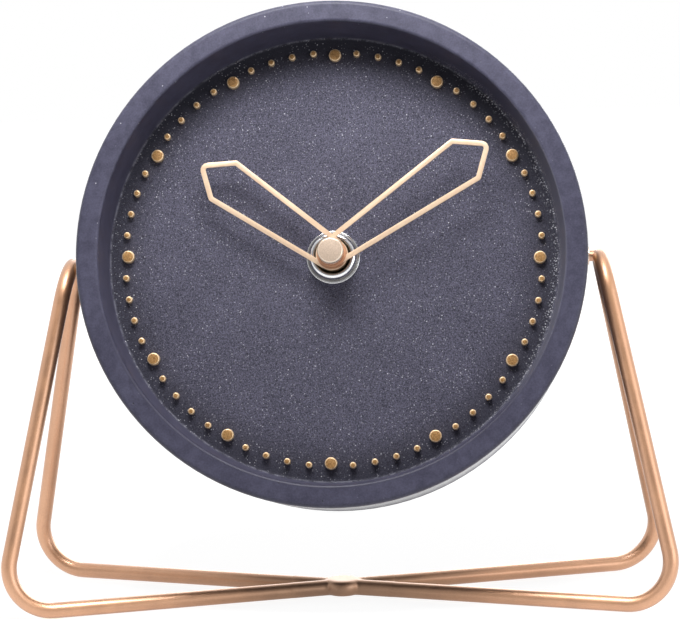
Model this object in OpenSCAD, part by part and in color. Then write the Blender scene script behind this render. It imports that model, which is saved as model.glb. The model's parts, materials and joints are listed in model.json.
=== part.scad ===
// Round table clock that tilts in a folded wire stand, with a quartz movement behind its dial.
// Millimetres. The clock stands on z = 0, its dial faces -Y, and the tilting axis lies along X.

/* [Stand] */
// Diameter of the stand's wire
wire_d = 4; // [3:0.1:5]
// Room between the case's side and a hairpin
pivot_gap = 2.15; // [2:0.05:4]
// How far a foot corner stands out past the hairpin's top
foot_splay = 17.85; // [8:0.05:30]
// Half the depth between the foot corners
foot_half_d = 26.3; // [20:0.1:40]
// Clear height between the base rods and the turning case
floor_gap = 16.73; // [6:0.01:40]
// Bend radius of a hairpin, at the wire's centre
hairpin_r = 10; // [6:0.5:13]
// Bend radius of a foot corner, at the wire's centre
foot_bend_r = 11; // [6:0.5:14]
// How much thinner the wire is where it is bent
bend_thin = 0.02; // [0.02:0.01:0.1]
// Diameter of the weld nugget between the base rods
weld_d = 10; // [9:0.5:14]
// How far the weld nugget stands above the rods
weld_rise = 0.1; // [0.1:0.1:1]
// Rounding of the weld nugget
weld_round = 1.5; // [0.5:0.1:1.8]

/* [Pivots] */
// Diameter of the studs that the case tilts on
stud_d = 2.8; // [2:0.1:3.2]
// Radial width of a pivot washer
washer_rim = 0.9; // [0.5:0.1:1.5]
// Thickness of a pivot washer
washer_t = 0.8; // [0.4:0.1:1.2]
// Wall of a pivot bush
bush_wall = 1.3; // [0.8:0.1:1.6]
// Length of a pivot bush
bush_len = 9; // [7:0.5:12]
// How far a bush's flange reaches past its body
bush_flange_rim = 0.8; // [0.5:0.1:1.5]
// Thickness of a bush's flange
bush_flange_t = 0.8; // [0.5:0.1:1.5]
// How far a bush's flange stands out of the case
bush_flange_proud = 0.25; // [0.1:0.05:0.5]
// Casting left around a bush
boss_wall = 2.6; // [1.5:0.1:3]

/* [Case] */
// Outer radius of the case at its front
case_r = 64.5; // [60:0.5:75]
// How much smaller the radius is at the back
case_taper = 0.6; // [0:0.1:3]
// Depth of the case from rim to back
case_depth = 38.2; // [36:0.1:46]
// Distance from the rim's front back to the tilting axis
pivot_back = 19.1; // [18:0.1:21]
// Width of the rim
rim_w = 5.7; // [4:0.1:9]
// Depth of the dial below the rim
recess_depth = 13.05; // [9:0.05:13.5]
// How much the recess narrows towards the dial
recess_draft = 1; // [0:0.1:3]
// Thickness of the dial wall
dial_t = 6; // [4:0.1:7]
// Wall around the hollow back
back_wall = 5.8; // [4:0.1:9]
// Rounding of the rim's outer edge
rim_round = 1.2; // [0.4:0.1:2]
// Rounding of the rim's inner edge
lip_round = 0.8; // [0.4:0.1:2]
// Rounding of the back's edges
back_round = 1.6; // [0.4:0.1:2]
// Fillet where the dial meets its wall
dial_fillet = 0.8; // [0.3:0.1:2]
// How far the dial leans back
tilt = 14; // [0:1:30]

/* [Dial markers] */
// Diameter of the hour studs
hour_stud_d = 3.2; // [2:0.1:4]
// Distance of the hour studs from the rim of the dial
hour_stud_inset = 5; // [3:0.1:9]
// Diameter of the minute studs
minute_stud_d = 1.7; // [1:0.1:2.4]
// Distance of the minute studs from the rim of the dial
minute_stud_inset = 4.3; // [3:0.1:9]
// How far the studs stand out of the dial
stud_proud = 1.5; // [0.8:0.1:2.5]
// How deep the studs sit in the dial
stud_seat = 1.2; // [0.6:0.1:2]
// Bevel round a stud's head
stud_bevel = 0.25; // [0.05:0.05:0.3]
// How far the ring of studs is turned clockwise
dial_turn = 1.2; // [-3:0.1:3]

/* [Hands] */
// Length of the hour hand
hour_len = 41.7; // [32:0.1:43]
// Length of the minute hand
minute_len = 49.3; // [40:0.1:50]
// Half width of the hour hand at its shoulders
hour_shoulder = 5.6; // [4.5:0.1:8]
// Half width of the minute hand at its shoulders
minute_shoulder = 5.8; // [4.5:0.1:8]
// Length of a hand's point beyond its shoulders
point_len = 7.7; // [5:0.1:10]
// Width of a hand's stroke
stroke_w = 1.3; // [0.9:0.1:1.8]
// Thickness of the hands' sheet
hand_t = 0.5; // [0.3:0.1:0.8]
// Radius of the hour hand's disc
hour_disc_r = 4.1; // [3.8:0.05:4.6]
// Radius of the minute hand's disc
minute_disc_r = 3.6; // [3.3:0.05:4.2]
// Height of the hour hand above the dial
hour_hand_h = 5.3; // [4.8:0.1:6]
// Height of the minute hand above the hour hand
hand_step = 2.5; // [2:0.1:4]
// Where the hour hand points, clockwise from the top
hour_angle = 305.4; // [0:0.1:360]
// Where the minute hand points, clockwise from the top
minute_angle = 55.9; // [0:0.1:360]
// Diameter of the hand cap
cap_d = 6.6; // [5:0.1:8]
// Height of the hand cap
cap_h = 4.75; // [3.5:0.05:6]
// Bevel round the cap's top
cap_bevel = 0.35; // [0.1:0.05:0.8]

/* [Dial fixing] */
// Diameter of the movement's threaded neck
neck_d = 8; // [7:0.1:10]
// Radial room between the neck and the dial's hole
neck_room = 0.2; // [0.05:0.05:0.5]
// Radial width of the dial washer
dial_washer_rim = 2.85; // [2:0.05:5]
// Thickness of the dial washer
dial_washer_t = 0.5; // [0.3:0.1:1]
// Radial width of the round nut's foot
nut_foot_rim = 2.5; // [1.8:0.05:4]
// Radial width of the round nut's bead
nut_bead_rim = 1.7; // [1.2:0.05:3]
// Height of the nut's foot
nut_foot_h = 1; // [0.6:0.1:1.5]
// Height of the nut
nut_h = 2.9; // [2:0.1:3.2]
// Thickness of the rubber gasket behind the dial
gasket_t = 0.5; // [0.3:0.1:1]
// Radial width of the gasket
gasket_rim = 4.6; // [3:0.1:8]

/* [Movement box] */
// Room from each end of the battery's can to the side of the movement
cell_end_room = 3.25; // [3:0.05:5]
// Depth of the movement
box_d = 16.5; // [16.5:0.1:18]
// Front wall of the movement
front_t = 1.5; // [1:0.1:2]
// Back cover of the movement
cover_t = 1.3; // [1:0.1:2]
// Side walls of the movement
box_wall = 1.2; // [0.8:0.1:1.5]
// Corner radius of the movement
box_corner_r = 3; // [2:0.5:5]
// Wall between the battery and the wheels
partition_t = 1; // [0.6:0.1:1.2]
// Diameter of the battery cell
battery_d = 14.5; // [13.5:0.1:14.5]
// Length of the battery's can
battery_len = 49.5; // [47:0.1:49.5]
// Length of the battery's nub
nub_len = 1; // [0.5:0.1:1.2]
// Room around the battery
battery_gap = 0.5; // [0.3:0.05:0.6]
// Thickness of the battery contacts
contact_t = 0.4; // [0.2:0.1:0.6]

/* [Wheels] */
// Centre distance of the third wheel from the hand axis
third_dist = 9.6; // [9.4:0.1:10]
// Centre distance of the fifth wheel from the hand axis
fifth_dist = 9.6; // [9.6:0.1:10]
// Centre distance of the rotor from the fifth wheel
rotor_dist = 7; // [6.8:0.1:7.5]
// Centre distance of the minute wheel from the hand axis
minute_dist = 8; // [7.8:0.1:8.2]
// Thickness of the wheels
wheel_t = 0.8; // [0.5:0.1:1]
// Distance from one layer of wheels to the next
layer_step = 2; // [1.9:0.05:2]
// Radius of the wheels' arbors
arbor_r = 0.5; // [0.4:0.05:0.6]
// Radius of the pivots at the ends of the arbors
pin_r = 0.35; // [0.25:0.05:0.4]
// Diameter of the setting knob
knob_d = 12; // [8:0.5:16]
// Thickness of the setting knob
knob_t = 1.6; // [1:0.1:1.8]
// Diameter of the setting shaft
setting_d = 2.2; // [1.6:0.1:2.6]
// Radius of the rotor's magnet
magnet_r = 2.9; // [2:0.1:3.2]
// Height of the rotor's magnet
magnet_h = 2.4; // [1.6:0.1:2.6]
// Air gap between magnet and stator
air_gap = 0.4; // [0.3:0.05:0.6]
// Thickness of the stator and the coil's core
lamination_t = 0.7; // [0.5:0.05:0.75]
// Diameter of the coil
coil_d = 8.6; // [7:0.1:9]

/* [Hidden] */
$fn = 64;

// Clearances: a turning fit, a pressed seat, two parts that pass, a wheel's shake between its bearings,
// the overshoot of a cut, and a bend's lap
run_fit = 0.05;
press_gap = 0.01;
shake = 0.25;
end_shake = 0.2;
past = 1;
bend_lap = 0.1;

// Heights along the dial's normal, measured from the tilting axis
rim_z = pivot_back;
back_z = rim_z - case_depth;
dial_z = rim_z - recess_depth;
dial_back_z = dial_z - dial_t;
box_front_z = dial_back_z - gasket_t;
floor_z = box_front_z - front_t;
cover_z = box_front_z - box_d + cover_t;

// Case and pivot sizes that follow
pivot_r = case_r - case_taper * pivot_back / case_depth;
dial_r = case_r - rim_w - recess_draft;
swing_r = norm([case_r, max(pivot_back, case_depth - pivot_back)]);
stud_r = stud_d / 2;
bush_r = stud_r + run_fit + bush_wall;
bush_out_x = pivot_r + bush_flange_proud;
bush_in_x = bush_out_x - bush_len;
neck_r = neck_d / 2;
neck_hole_r = neck_r + neck_room;
neck_flange_r = neck_r + 2;
neck_below_nut = 0.4;

// Stand sizes that follow
wire_r = wire_d / 2;
hairpin_x = pivot_r + pivot_gap + wire_r;
foot_x = hairpin_x + foot_splay;
pivot_h = wire_d + floor_gap + swing_r;
weld_r = weld_d / 2;
weld_low = 0.2;
hub = [0, 0, wire_r];
foot_front = [foot_x, -foot_half_d, wire_r];
foot_rear = [foot_x, foot_half_d, wire_r];
foot_mid = [foot_x, 0, wire_r];
hairpin_top = [hairpin_x, 0, pivot_h];
slope_len = norm(hairpin_top - foot_mid);
slope_up = (hairpin_top - foot_mid) / slope_len;
centre_up = slope_len - hairpin_r;
leg_lean = atan2(foot_half_d, centre_up) - asin(hairpin_r / norm([foot_half_d, centre_up]));
leg_apex = foot_mid + slope_up * foot_half_d / tan(leg_lean);

// Hand stack: pipes from the inside out, and heights above the dial
second_r = arbor_r;
minute_pipe_r = 1.6;
minute_hub_r = 1.3;
minute_bore_r = second_r + run_fit;
hour_bore_r = minute_pipe_r + run_fit;
hour_pipe_r = 2.5;
neck_bore_r = hour_pipe_r + run_fit;
neck_top = dial_washer_t + nut_h - neck_below_nut;
second_top_z = dial_back_z + 2;
minute_bore_top_z = second_top_z + past;
minute_hand_h = hour_hand_h + hand_step;
cap_thread_r = 1.25;
cap_thread_len = 2.6;
hour_collet_h = 1;
minute_collet_h = 0.8;
collet_wall = 0.8;
hand_root_rim = 0.1;
hand_tip_r = 1.2;
hand_shoulder_r = 1;

// Wheel train: tooth counts of each meshing pair, driver first
rotor_teeth = 8;
fifth_teeth = 48;
fifth_leaves = 10;
fourth_teeth = 50;
fourth_leaves = 8;
third_teeth = 60;
third_leaves = 8;
centre_teeth = 64;
cannon_teeth = 12;
minute_teeth = 36;
minute_leaves = 10;
hour_teeth = 40;
setting_teeth = 12;

// Directions in which one axis lies from another, counter-clockwise from the right
third_dir = 60;
fifth_dir = 150;
rotor_dir = 150;
minute_dir = -25;
setting_dir = 20;

// Modules that follow from the centre distances
rotor_mod = 2 * rotor_dist / (rotor_teeth + fifth_teeth);
fifth_mod = 2 * fifth_dist / (fifth_leaves + fourth_teeth);
fourth_mod = 2 * third_dist / (fourth_leaves + third_teeth);
third_mod = 2 * third_dist / (third_leaves + centre_teeth);
cannon_mod = 2 * minute_dist / (cannon_teeth + minute_teeth);
minute_mod = 2 * minute_dist / (minute_leaves + hour_teeth);
setting_dist = cannon_mod * (minute_teeth + setting_teeth) / 2;

// Axes of the wheels in the dial plane
function polar(r, a) = [r * cos(a), r * sin(a)];
third_at = polar(third_dist, third_dir);
fifth_at = polar(fifth_dist, fifth_dir);
rotor_at = fifth_at + polar(rotor_dist, rotor_dir);
minute_at = polar(minute_dist, minute_dir);
setting_at = minute_at + polar(setting_dist, setting_dir);

// Tooth form, in modules, and the share of the pitch that a tooth fills
tooth_add = 0.8;
tooth_ded = 1.15;
tooth_share = 0.45;
tip_share = 0.5;
root_share = 1.1;
leaf_over = 0.3;

function tip_radius(teeth, mod) = (teeth / 2 + tooth_add) * mod;

// Turn that brings the second wheel of a pair into mesh with the first
function mesh_turn(turn, teeth, next_teeth, dir) =
    dir + 180 + 180 / next_teeth - (turn - dir) * teeth / next_teeth;
fourth_turn = 0;
third_turn = mesh_turn(fourth_turn, fourth_leaves, third_teeth, third_dir);
centre_turn = mesh_turn(third_turn, third_leaves, centre_teeth, third_dir + 180);
fifth_turn = mesh_turn(fourth_turn, fourth_teeth, fifth_leaves, fifth_dir);
rotor_turn = mesh_turn(fifth_turn, fifth_teeth, rotor_teeth, rotor_dir);
cannon_turn = 0;
minute_turn = mesh_turn(cannon_turn, cannon_teeth, minute_teeth, minute_dir);
hour_turn = mesh_turn(minute_turn, minute_leaves, hour_teeth, minute_dir + 180);
setting_turn = mesh_turn(minute_turn, minute_teeth, setting_teeth, setting_dir);

// Depths behind the movement's front wall: the front face of each layer of wheels, and the bearings
first_layer = 0.4;
function layer(i) = first_layer + i * layer_step;
hour_layer = layer(0);
minute_layer = layer(1);
centre_layer = layer(2);
third_layer = layer(3);
fourth_layer = layer(4);
fifth_layer = layer(5);
chamber_d = floor_z - cover_z;
bearing_wall = 1.05;
pin_len = 1;
arbor_front_d = centre_layer - leaf_over - shake;
arbor_rear_d = fifth_layer + wheel_t + leaf_over + shake;
setting_front_d = minute_layer - leaf_over - shake;
front_boss_d = arbor_front_d - end_shake;
rear_boss_d = arbor_rear_d + end_shake;
setting_boss_d = setting_front_d - end_shake;
centre_hub_r = 2.2;
centre_hub_h = 0.6;
spring_r = 2.6;
spring_t = 0.3;
spring_front = centre_layer + wheel_t + run_fit;
cannon_foot_d = spring_front + spring_t + shake;
post_r = 0.7;
post_d = minute_layer + wheel_t + shake;

// Stepping motor: a stator strip below, the coil's core above, and legs that join them
setting_r = setting_d / 2;
setting_pin_r = 0.8;
stator_front = centre_layer + wheel_t + shake;
core_front = stator_front + lamination_t;
leg_w = 4;
motor_post_r = 1.6;
strip_w = 4.4;
stator_ring_w = 2.6;
stator_reach = 10.6;
stator_ring_r = magnet_r + air_gap + stator_ring_w;
stator_left = rotor_at.x - stator_reach;
stator_gap = 1;
stator_right = third_at.x - tip_radius(third_leaves, third_mod) - stator_gap;
core_rise = 12.2;
core_y = rotor_at.y + core_rise;
bobbin_flange_t = 0.8;
bobbin_r = 3;
bobbin_gap = 1.2;
core_room = 0.1;
winding_inset = 0.3;
coil_x0 = stator_left + leg_w + bobbin_gap;
coil_len = stator_right - stator_left - 2 * leg_w - 2 * bobbin_gap;

// Inside of the movement's box: as wide as the battery or the motor needs, with the battery bay below the
// wheels and the coil above them
motor_room = 1.8;
wheel_room = 2.05;
coil_room = 2;
inner_x = max(battery_len / 2 + cell_end_room - box_wall, motor_room - stator_left);
inner_low = tip_radius(fourth_teeth, fifth_mod) + wheel_room + partition_t + battery_d + 2 * battery_gap;
inner_high = core_y + coil_d / 2 + coil_room;

// Battery bay, along the bottom of the box
battery_y = battery_gap + battery_d / 2 - inner_low;
partition_y = battery_y + battery_d / 2 + battery_gap;
battery_z = floor_z - shake - battery_d / 2;
nub_r = 2.75;
contact_w = 8;
contact_h = 10;

// Circuit board, in the corner beyond the wheels
board_size = [18.6, 8.2];
board_gap = 0.4;
board_at = [inner_x - board_size.x - board_gap, inner_high - board_size.y - board_gap];
board_front = minute_layer - board_gap;
board_t = 1;
board_post_r = 1.1;
chip_x = 13;
chip_r = 2.2;
chip_h = 0.9;
can_x = 2;
can_r = 1;
can_len = 6.5;

// Finishes
bronze = "peru";
resin = "darkslateblue";
bright = "gainsboro";
rose = "navajowhite";
brass = "goldenrod";
steel = "silver";
cream = "ivory";
dark = "dimgray";

// Helper functions
function unit(v) = v / norm(v);
function corner_angle(corner, a, b) = acos(unit(a - corner) * unit(b - corner));
function tangent_len(corner, a, b, r) = r / tan(corner_angle(corner, a, b) / 2);
function toward(from, to, len) = from + unit(to - from) * len;
function arc(centre, r, from, to, steps = 5) =
    [for (i = [0:steps]) centre + polar(r, from + (to - from) * i / steps)];
function left_normal(a, b) = [a.y - b.y, b.x - a.x] / norm(b - a);
function meet(p, u, q, v) = p + u * ((q - p).x * v.y - (q - p).y * v.x) / (u.x * v.y - u.y * v.x);

// Outline moved inwards by w, for points that run counter-clockwise
function inset(pts, w) = [
    for (i = [0:len(pts) - 1])
        let (
            a = pts[(i + len(pts) - 1) % len(pts)],
            b = pts[i],
            c = pts[(i + 1) % len(pts)]
        )
        meet(b + left_normal(a, b) * w, b - a, b + left_normal(b, c) * w, c - b)
];

// Outline whose corners are rounded, for points that run counter-clockwise
function rounded(pts, radii, steps = 4) = [
    for (i = [0:len(pts) - 1])
        let (
            a = pts[(i + len(pts) - 1) % len(pts)],
            b = pts[i],
            c = pts[(i + 1) % len(pts)],
            half = corner_angle(b, a, c) / 2,
            mid = b + unit(unit(a - b) + unit(c - b)) * radii[i] / sin(half),
            out = atan2((b - mid).y, (b - mid).x)
        )
        each (radii[i] > 0 ? arc(mid, radii[i], out - 90 + half, out + 90 - half, steps) : [b])
];

// Frame of the case: x to the right, y up the dial, z out of the dial
module in_case() {
    translate([0, 0, pivot_h]) rotate([90 - tilt, 0, 0]) children();
}

// Depth d behind the movement's front wall, at a point of the dial plane
module at_depth(d, at = [0, 0]) {
    translate([at.x, at.y, floor_z - d]) mirror([0, 0, 1]) children();
}

module tube(outer_r, inner_r, h) {
    difference() {
        cylinder(r = outer_r, h = h);
        translate([0, 0, -past]) cylinder(r = inner_r, h = h + 2 * past);
    }
}

// Round bar along X from x0 to x1
module bar_x(r, x0, x1) {
    translate([x0, 0, 0]) rotate([0, 90, 0]) cylinder(r = r, h = x1 - x0);
}

module on_side(side) {
    mirror([side < 0 ? 1 : 0, 0, 0]) children();
}

module rod(from, to) {
    v = to - from;
    translate(from)
        rotate([0, acos(v.z / norm(v)), atan2(v.y, v.x)])
            cylinder(d = wire_d, h = norm(v));
}

// Round bend of the wire at a corner between two rods, which runs a little way into both
module bend(corner, a, b, r) {
    angle = corner_angle(corner, a, b);
    turn = 180 - angle + 2 * bend_lap / r * 180 / PI;
    out = -unit(unit(a - corner) + unit(b - corner));
    axis = unit(cross(a - corner, b - corner));
    side = cross(axis, out);
    mid = corner - out * r / sin(angle / 2);
    multmatrix([
        [out.x, side.x, axis.x, mid.x],
        [out.y, side.y, axis.y, mid.y],
        [out.z, side.z, axis.z, mid.z]
    ])
        rotate([0, 0, -turn / 2])
            rotate_extrude(angle = turn)
                translate([r, 0]) circle(d = wire_d - bend_thin);
}

// Front half of one loop, from its mitred end at the hub to the start of the hairpin
module front_half() {
    bend_len = tangent_len(foot_front, hub, leg_apex, foot_bend_r);
    top_len = tangent_len(leg_apex, foot_front, foot_rear, hairpin_r);
    difference() {
        rod(hub, toward(foot_front, hub, bend_len));
        translate([-foot_x, 0, -past]) cube([2 * foot_x, foot_half_d, wire_d + 2 * past]);
    }
    bend(foot_front, hub, leg_apex, foot_bend_r);
    rod(toward(foot_front, leg_apex, bend_len), toward(leg_apex, foot_front, top_len));
}

module stand_wire(side) {
    on_side(side)
        difference() {
            union() {
                front_half();
                mirror([0, 1, 0]) front_half();
                bend(leg_apex, foot_front, foot_rear, hairpin_r);
            }
            weld_nugget();
            translate([0, 0, pivot_h])
                bar_x(stud_r + press_gap, hairpin_x - wire_d, hairpin_x);
        }
}

module stand_wire_left() {
    color(bronze) stand_wire(-1);
}

module stand_wire_right() {
    color(bronze) stand_wire(1);
}

// Round nugget that the four base rods run into
module weld_nugget() {
    top = wire_d + weld_rise;
    rotate_extrude()
        polygon(concat(
            [[0, weld_low]],
            arc([weld_r - weld_round, weld_low + weld_round], weld_round, -90, 0),
            arc([weld_r - weld_round, top - weld_round], weld_round, 0, 90),
            [[0, top]]
        ));
}

module stand_weld() {
    color(bronze) weld_nugget();
}

module pivot_stud(side) {
    on_side(side)
        translate([0, 0, pivot_h])
            bar_x(stud_r, bush_in_x + past, hairpin_x);
}

module pivot_stud_left() {
    color(bronze) pivot_stud(-1);
}

module pivot_stud_right() {
    color(bronze) pivot_stud(1);
}

module pivot_washer(side) {
    x0 = bush_out_x + shake;
    on_side(side)
        translate([0, 0, pivot_h])
            difference() {
                bar_x(stud_r + washer_rim, x0, x0 + washer_t);
                bar_x(stud_r + press_gap, x0 - past, x0 + washer_t + past);
            }
}

module pivot_washer_left() {
    color(bronze) pivot_washer(-1);
}

module pivot_washer_right() {
    color(bronze) pivot_washer(1);
}

// Half section of the casting, from the neck's hole out over rim and back
module case_section() {
    rim_in_r = case_r - rim_w;
    back_r = case_r - case_taper;
    hollow_r = back_r - back_wall;
    wall_lean = atan2(recess_draft, recess_depth);
    polygon(concat(
        [[neck_hole_r, dial_back_z], [neck_hole_r, dial_z]],
        arc([dial_r - dial_fillet, dial_z + dial_fillet], dial_fillet, -90, -wall_lean),
        arc([rim_in_r + lip_round, rim_z - lip_round], lip_round, 180 - wall_lean, 90),
        arc([case_r - rim_round, rim_z - rim_round], rim_round, 90, 0),
        arc([back_r - back_round, back_z + back_round], back_round, 0, -90),
        arc([hollow_r + back_round, back_z + back_round], back_round, -90, -180),
        arc([hollow_r - back_round, dial_back_z - back_round], back_round, 0, 90)
    ));
}

module ring_of(count, skip, r) {
    for (i = [0:count - 1])
        if (skip == 0 || i % skip != 0)
            rotate([0, 0, -dial_turn - i * 360 / count])
                translate([0, r, dial_z - stud_seat])
                    children();
}

module at_hours() {
    ring_of(12, 0, dial_r - hour_stud_inset) children();
}

module at_minutes() {
    ring_of(60, 5, dial_r - minute_stud_inset) children();
}

// Round marker whose head has a bevelled edge
module dial_stud(d) {
    top = stud_seat + stud_proud;
    rotate_extrude($fn = 32)
        polygon([[0, 0], [d / 2, 0], [d / 2, top - stud_bevel], [d / 2 - stud_bevel, top], [0, top]]);
}

module stud_hole(d) {
    cylinder(d = d + 2 * press_gap, h = stud_seat + past, $fn = 32);
}

module case_pivot_bore() {
    bar_x(bush_r + press_gap, bush_in_x, case_r + past);
    bar_x(bush_r + bush_flange_rim + press_gap, bush_out_x - bush_flange_t, case_r + past);
}

// Casting around a bush, behind the dial wall
module case_pivot_boss() {
    bar_x(bush_r + boss_wall, bush_in_x - boss_wall, pivot_r - back_wall / 2);
}

module case() {
    color(resin)
        in_case()
            difference() {
                union() {
                    rotate_extrude($fn = 128) case_section();
                    case_pivot_boss();
                    on_side(-1) case_pivot_boss();
                }
                case_pivot_bore();
                on_side(-1) case_pivot_bore();
                at_hours() stud_hole(hour_stud_d);
                at_minutes() stud_hole(minute_stud_d);
            }
}

module pivot_bush(side) {
    in_case()
        on_side(side)
            difference() {
                union() {
                    bar_x(bush_r, bush_in_x, bush_out_x);
                    bar_x(bush_r + bush_flange_rim, bush_out_x - bush_flange_t, bush_out_x);
                }
                bar_x(stud_r + run_fit, bush_in_x - past, bush_out_x + past);
            }
}

module pivot_bush_left() {
    color(brass) pivot_bush(-1);
}

module pivot_bush_right() {
    color(brass) pivot_bush(1);
}

module hour_studs() {
    color(brass) in_case() at_hours() dial_stud(hour_stud_d);
}

module minute_studs() {
    color(brass) in_case() at_minutes() dial_stud(minute_stud_d);
}

module dial_washer() {
    color(bright)
        in_case()
            translate([0, 0, dial_z])
                tube(neck_r + dial_washer_rim, neck_r + press_gap, dial_washer_t);
}

// Round nut: a foot, a waist and a rounded bead that dips towards the neck
module dial_nut() {
    bead_r = (nut_h - nut_foot_h) / 3;
    bead_turn = 120;
    foot_r = neck_r + nut_foot_rim;
    bead_x = neck_r + nut_bead_rim;
    foot_ease = 0.4;
    color(bright)
        in_case()
            translate([0, 0, dial_z + dial_washer_t])
                rotate_extrude()
                    polygon(concat(
                        [[neck_r + press_gap, 0], [foot_r, 0]],
                        arc([foot_r - foot_ease, nut_foot_h - foot_ease], foot_ease, 0, 90),
                        [[bead_x, nut_foot_h]],
                        arc([bead_x - bead_r, nut_h - bead_r], bead_r, 0, bead_turn),
                        [[neck_r + press_gap, nut_h - 2 * bead_r]]
                    ));
}

module movement_gasket() {
    inner_r = neck_flange_r + neck_room;
    color(dark)
        in_case()
            translate([0, 0, box_front_z])
                tube(inner_r + gasket_rim, inner_r, gasket_t);
}

// Brass neck with a flange on the movement's front
module threaded_bush() {
    color(brass)
        in_case()
            difference() {
                union() {
                    translate([0, 0, floor_z])
                        cylinder(r = neck_r, h = dial_z + neck_top - floor_z);
                    translate([0, 0, box_front_z]) cylinder(r = neck_flange_r, h = gasket_t);
                }
                translate([0, 0, floor_z - past])
                    cylinder(r = neck_bore_r, h = dial_z + neck_top - floor_z + 2 * past);
            }
}

// Outline of the box at a distance outside its inner walls
module box_outline(wall, r) {
    x = inner_x + wall;
    low = inner_low + wall;
    high = inner_high + wall;
    polygon(rounded([[x, high], [-x, high], [-x, -low], [x, -low]], [r, r, r, r]));
}

// Bearing of depth d on the front wall, with a blind hole that faces the wheels
module front_bearing(at, d, pin) {
    at_depth(0, at)
        difference() {
            cylinder(r = pin + bearing_wall, h = d);
            translate([0, 0, d - pin_len - shake])
                cylinder(r = pin + run_fit, h = pin_len + shake + past);
        }
}

module rear_bearing(at) {
    at_depth(rear_boss_d, at)
        difference() {
            cylinder(r = pin_r + bearing_wall, h = chamber_d - rear_boss_d);
            translate([0, 0, -past]) cylinder(r = pin_r + run_fit, h = pin_len + shake + past);
        }
}

// Front tray of the movement: walls, battery bay, bearings and posts
module movement_front() {
    color(cream)
        in_case() {
            difference() {
                translate([0, 0, cover_z])
                    linear_extrude(box_front_z - cover_z)
                        box_outline(box_wall, box_corner_r);
                difference() {
                    translate([0, 0, cover_z - past])
                        linear_extrude(floor_z - cover_z + past)
                            box_outline(0, box_corner_r - box_wall);
                    translate([-inner_x - past, partition_y, cover_z])
                        cube([2 * (inner_x + past), partition_t, floor_z - cover_z + past]);
                }
                translate([0, 0, floor_z - past])
                    cylinder(r = neck_r + press_gap, h = front_t + 2 * past);
            }
            front_bearing(third_at, front_boss_d, pin_r);
            front_bearing(fifth_at, front_boss_d, pin_r);
            front_bearing(rotor_at, front_boss_d, pin_r);
            front_bearing(setting_at, setting_boss_d, setting_pin_r);
            at_depth(0, minute_at) cylinder(r = post_r, h = post_d);
            for (x = [stator_left + leg_w / 2, stator_right - leg_w / 2])
                at_depth(0, [x, core_y]) cylinder(r = motor_post_r, h = stator_front);
            for (x = [2 * board_post_r, board_size.x - 2 * board_post_r])
                at_depth(0, board_at + [x, board_size.y / 2]) cylinder(r = board_post_r, h = board_front);
        }
}

// Back cover of the movement, open over the battery
module movement_rear() {
    color(cream)
        in_case() {
            difference() {
                translate([0, 0, cover_z - cover_t])
                    linear_extrude(cover_t) box_outline(box_wall, box_corner_r);
                translate([-inner_x, -inner_low, cover_z - cover_t - past])
                    cube([2 * inner_x, partition_y + inner_low, cover_t + 2 * past]);
                translate([setting_at.x, setting_at.y, cover_z - cover_t - past])
                    cylinder(r = setting_r + run_fit, h = cover_t + 2 * past);
            }
            rear_bearing([0, 0]);
            rear_bearing(third_at);
            rear_bearing(fifth_at);
            rear_bearing(rotor_at);
        }
}

module battery() {
    groove = 0.3;
    half = battery_len / 2;
    color(dark)
        in_case()
            translate([0, battery_y, battery_z])
                rotate([0, 90, 0])
                    rotate_extrude()
                        polygon([
                            [0, -half], [battery_d / 2 - groove, -half], [battery_d / 2, -half + groove],
                            [battery_d / 2, half - groove], [battery_d / 2 - groove, half],
                            [nub_r, half], [nub_r, half + nub_len], [0, half + nub_len]
                        ]);
}

// Leaf contact on the end wall of the bay, bowed towards the cell
module leaf_contact(bow) {
    step = contact_h / 5;
    path = [[0, 0], [0, step], [bow, 2 * step], [bow, 3 * step], [0, 4 * step], [0, contact_h]];
    back = [for (i = [len(path) - 1:-1:0]) path[i] + [contact_t, 0]];
    translate([-inner_x, battery_y + contact_w / 2, battery_z - contact_h / 2])
        rotate([90, 0, 0])
            linear_extrude(contact_w) polygon(concat(path, back));
}

module battery_contact_plus() {
    color(steel)
        in_case()
            on_side(-1) leaf_contact(inner_x - battery_len / 2 - nub_len - contact_t - shake);
}

module battery_contact_minus() {
    color(steel)
        in_case()
            leaf_contact(inner_x - battery_len / 2 - contact_t - shake);
}

module circuit_board() {
    color("darkgreen")
        in_case()
            at_depth(board_front, board_at) {
                cube([board_size.x, board_size.y, board_t]);
                translate([chip_x, board_size.y / 2, board_t]) cylinder(r = chip_r, h = chip_h);
            }
}

module quartz_can() {
    color(steel)
        in_case()
            at_depth(board_front + board_t + can_r, board_at + [can_x, board_size.y / 2])
                rotate([0, 90, 0]) cylinder(r = can_r, h = can_len);
}

module motor_legs() {
    for (x = [stator_left, stator_right - leg_w])
        translate([x, rotor_at.y - strip_w / 2])
            square([leg_w, core_y + leg_w / 2 - rotor_at.y + strip_w / 2]);
}

module stator() {
    color(steel)
        in_case()
            at_depth(stator_front)
                linear_extrude(lamination_t)
                    difference() {
                        union() {
                            motor_legs();
                            translate([stator_left, rotor_at.y - strip_w / 2])
                                square([stator_right - stator_left, strip_w]);
                            translate(rotor_at) circle(r = stator_ring_r);
                        }
                        translate(rotor_at) circle(r = magnet_r + air_gap);
                    }
}

module coil_core() {
    color(steel)
        in_case()
            at_depth(core_front, [stator_left, core_y - leg_w / 2])
                cube([stator_right - stator_left, leg_w, lamination_t]);
}

// Axis of the coil, along X through the middle of its core
module along_core(x0) {
    at_depth(core_front + lamination_t / 2, [x0, core_y])
        rotate([0, 90, 0]) children();
}

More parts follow.
